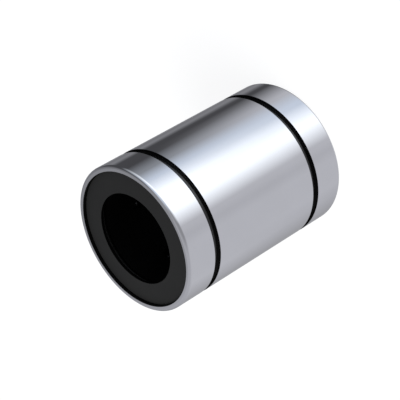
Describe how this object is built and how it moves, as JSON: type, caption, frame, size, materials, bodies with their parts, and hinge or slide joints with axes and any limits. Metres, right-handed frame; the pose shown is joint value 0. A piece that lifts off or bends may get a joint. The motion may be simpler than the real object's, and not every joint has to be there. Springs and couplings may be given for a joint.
{
  "type": "linear ball bearing",
  "caption": "Closed linear ball bearing for a round shaft: steel sleeve with snap-ring grooves, recirculating balls in a cage, and rubber end seals.",
  "frame": {"origin": "centre of the lower end face, on the shaft's axis", "axes": "+Z along the shaft's axis from the lower end to the upper one, +X through the first loaded row of balls"},
  "size_m": [0.026, 0.026, 0.036],
  "materials": {
    "hardened_steel": "ground",
    "ball_steel": "polished",
    "spring_steel": "oiled",
    "pressed_steel": "pressed",
    "cage_polymer": "moulded",
    "seal_rubber": "matt"
  },
  "bodies": {
    "bearing_body": {"outer_sleeve": "hardened_steel", "ball_cage": "cage_polymer", "lower_retaining_ring": "spring_steel", "lower_seal_case": "pressed_steel", "lower_seal_lip": "seal_rubber", "upper_retaining_ring": "spring_steel", "upper_seal_case": "pressed_steel", "upper_seal_lip": "seal_rubber"},
    "loaded_row_1": {"loaded_balls_1": "ball_steel"},
    "return_row_1": {"return_balls_1": "ball_steel"},
    "upper_turn_1": {"upper_turn_balls_1": "ball_steel"},
    "lower_turn_1": {"lower_turn_balls_1": "ball_steel"},
    "loaded_row_2": {"loaded_balls_2": "ball_steel"},
    "return_row_2": {"return_balls_2": "ball_steel"},
    "upper_turn_2": {"upper_turn_balls_2": "ball_steel"},
    "lower_turn_2": {"lower_turn_balls_2": "ball_steel"},
    "loaded_row_3": {"loaded_balls_3": "ball_steel"},
    "return_row_3": {"return_balls_3": "ball_steel"},
    "upper_turn_3": {"upper_turn_balls_3": "ball_steel"},
    "lower_turn_3": {"lower_turn_balls_3": "ball_steel"},
    "loaded_row_4": {"loaded_balls_4": "ball_steel"},
    "return_row_4": {"return_balls_4": "ball_steel"},
    "upper_turn_4": {"upper_turn_balls_4": "ball_steel"},
    "lower_turn_4": {"lower_turn_balls_4": "ball_steel"},
    "loaded_row_5": {"loaded_balls_5": "ball_steel"},
    "return_row_5": {"return_balls_5": "ball_steel"},
    "upper_turn_5": {"upper_turn_balls_5": "ball_steel"},
    "lower_turn_5": {"lower_turn_balls_5": "ball_steel"}
  },
  "joints": [
    {"name": "circuit_1_loaded_slide", "type": "slide", "parent": "bearing_body", "child": "loaded_row_1", "axis": [0, 0, 1], "range_m": [-0.00123, 0.00123]},
    {"name": "circuit_1_return_slide", "type": "slide", "parent": "bearing_body", "child": "return_row_1", "axis": [0, 0, 1], "range_m": [-0.00123, 0.00123]},
    {"name": "circuit_1_upper_turn", "type": "hinge", "parent": "bearing_body", "child": "upper_turn_1", "pos_m": [0.00852, 0.00306, 0.02662], "axis": [0.9385, 0.208, -0.2756], "range_deg": [-22.5, 22.5]},
    {"name": "circuit_1_lower_turn", "type": "hinge", "parent": "bearing_body", "child": "lower_turn_1", "pos_m": [0.00852, 0.00306, 0.00938], "axis": [0.9385, 0.208, 0.2756], "range_deg": [-22.5, 22.5]},
    {"name": "circuit_2_loaded_slide", "type": "slide", "parent": "bearing_body", "child": "loaded_row_2", "axis": [0, 0, 1], "range_m": [-0.00123, 0.00123]},
    {"name": "circuit_2_return_slide", "type": "slide", "parent": "bearing_body", "child": "return_row_2", "axis": [0, 0, 1], "range_m": [-0.00123, 0.00123]},
    {"name": "circuit_2_upper_turn", "type": "hinge", "parent": "bearing_body", "child": "upper_turn_2", "pos_m": [-0.00028, 0.00905, 0.02662], "axis": [0.0922, 0.9568, -0.2756], "range_deg": [-22.5, 22.5]},
    {"name": "circuit_2_lower_turn", "type": "hinge", "parent": "bearing_body", "child": "lower_turn_2", "pos_m": [-0.00028, 0.00905, 0.00938], "axis": [0.0922, 0.9568, 0.2756], "range_deg": [-22.5, 22.5]},
    {"name": "circuit_3_loaded_slide", "type": "slide", "parent": "bearing_body", "child": "loaded_row_3", "axis": [0, 0, 1], "range_m": [-0.00123, 0.00123]},
    {"name": "circuit_3_return_slide", "type": "slide", "parent": "bearing_body", "child": "return_row_3", "axis": [0, 0, 1], "range_m": [-0.00123, 0.00123]},
    {"name": "circuit_3_upper_turn", "type": "hinge", "parent": "bearing_body", "child": "upper_turn_3", "pos_m": [-0.00869, 0.00253, 0.02662], "axis": [-0.8815, 0.3833, -0.2756], "range_deg": [-22.5, 22.5]},
    {"name": "circuit_3_lower_turn", "type": "hinge", "parent": "bearing_body", "child": "lower_turn_3", "pos_m": [-0.00869, 0.00253, 0.00938], "axis": [-0.8815, 0.3833, 0.2756], "range_deg": [-22.5, 22.5]},
    {"name": "circuit_4_loaded_slide", "type": "slide", "parent": "bearing_body", "child": "loaded_row_4", "axis": [0, 0, 1], "range_m": [-0.00123, 0.00123]},
    {"name": "circuit_4_return_slide", "type": "slide", "parent": "bearing_body", "child": "return_row_4", "axis": [0, 0, 1], "range_m": [-0.00123, 0.00123]},
    {"name": "circuit_4_upper_turn", "type": "hinge", "parent": "bearing_body", "child": "upper_turn_4", "pos_m": [-0.00509, -0.00749, 0.02662], "axis": [-0.637, -0.7199, -0.2756], "range_deg": [-22.5, 22.5]},
    {"name": "circuit_4_lower_turn", "type": "hinge", "parent": "bearing_body", "child": "lower_turn_4", "pos_m": [-0.00509, -0.00749, 0.00938], "axis": [-0.637, -0.7199, 0.2756], "range_deg": [-22.5, 22.5]},
    {"name": "circuit_5_loaded_slide", "type": "slide", "parent": "bearing_body", "child": "loaded_row_5", "axis": [0, 0, 1], "range_m": [-0.00123, 0.00123]},
    {"name": "circuit_5_return_slide", "type": "slide", "parent": "bearing_body", "child": "return_row_5", "axis": [0, 0, 1], "range_m": [-0.00123, 0.00123]},
    {"name": "circuit_5_upper_turn", "type": "hinge", "parent": "bearing_body", "child": "upper_turn_5", "pos_m": [0.00555, -0.00716, 0.02662], "axis": [0.4878, -0.8283, -0.2756], "range_deg": [-22.5, 22.5]},
    {"name": "circuit_5_lower_turn", "type": "hinge", "parent": "bearing_body", "child": "lower_turn_5", "pos_m": [0.00555, -0.00716, 0.00938], "axis": [0.4878, -0.8283, 0.2756], "range_deg": [-22.5, 22.5]}
  ],
  "couplings": [
    {"joint": "circuit_1_return_slide", "follows": "circuit_1_loaded_slide", "ratio": -1},
    {"joint": "circuit_1_upper_turn", "follows": "circuit_1_loaded_slide", "rad_per_m": -318.88},
    {"joint": "circuit_1_lower_turn", "follows": "circuit_1_loaded_slide", "rad_per_m": -318.88},
    {"joint": "circuit_2_return_slide", "follows": "circuit_2_loaded_slide", "ratio": -1},
    {"joint": "circuit_2_upper_turn", "follows": "circuit_2_loaded_slide", "rad_per_m": -318.88},
    {"joint": "circuit_2_lower_turn", "follows": "circuit_2_loaded_slide", "rad_per_m": -318.88},
    {"joint": "circuit_3_return_slide", "follows": "circuit_3_loaded_slide", "ratio": -1},
    {"joint": "circuit_3_upper_turn", "follows": "circuit_3_loaded_slide", "rad_per_m": -318.88},
    {"joint": "circuit_3_lower_turn", "follows": "circuit_3_loaded_slide", "rad_per_m": -318.88},
    {"joint": "circuit_4_return_slide", "follows": "circuit_4_loaded_slide", "ratio": -1},
    {"joint": "circuit_4_upper_turn", "follows": "circuit_4_loaded_slide", "rad_per_m": -318.88},
    {"joint": "circuit_4_lower_turn", "follows": "circuit_4_loaded_slide", "rad_per_m": -318.88},
    {"joint": "circuit_5_return_slide", "follows": "circuit_5_loaded_slide", "ratio": -1},
    {"joint": "circuit_5_upper_turn", "follows": "circuit_5_loaded_slide", "rad_per_m": -318.88},
    {"joint": "circuit_5_lower_turn", "follows": "circuit_5_loaded_slide", "rad_per_m": -318.88}
  ]
}
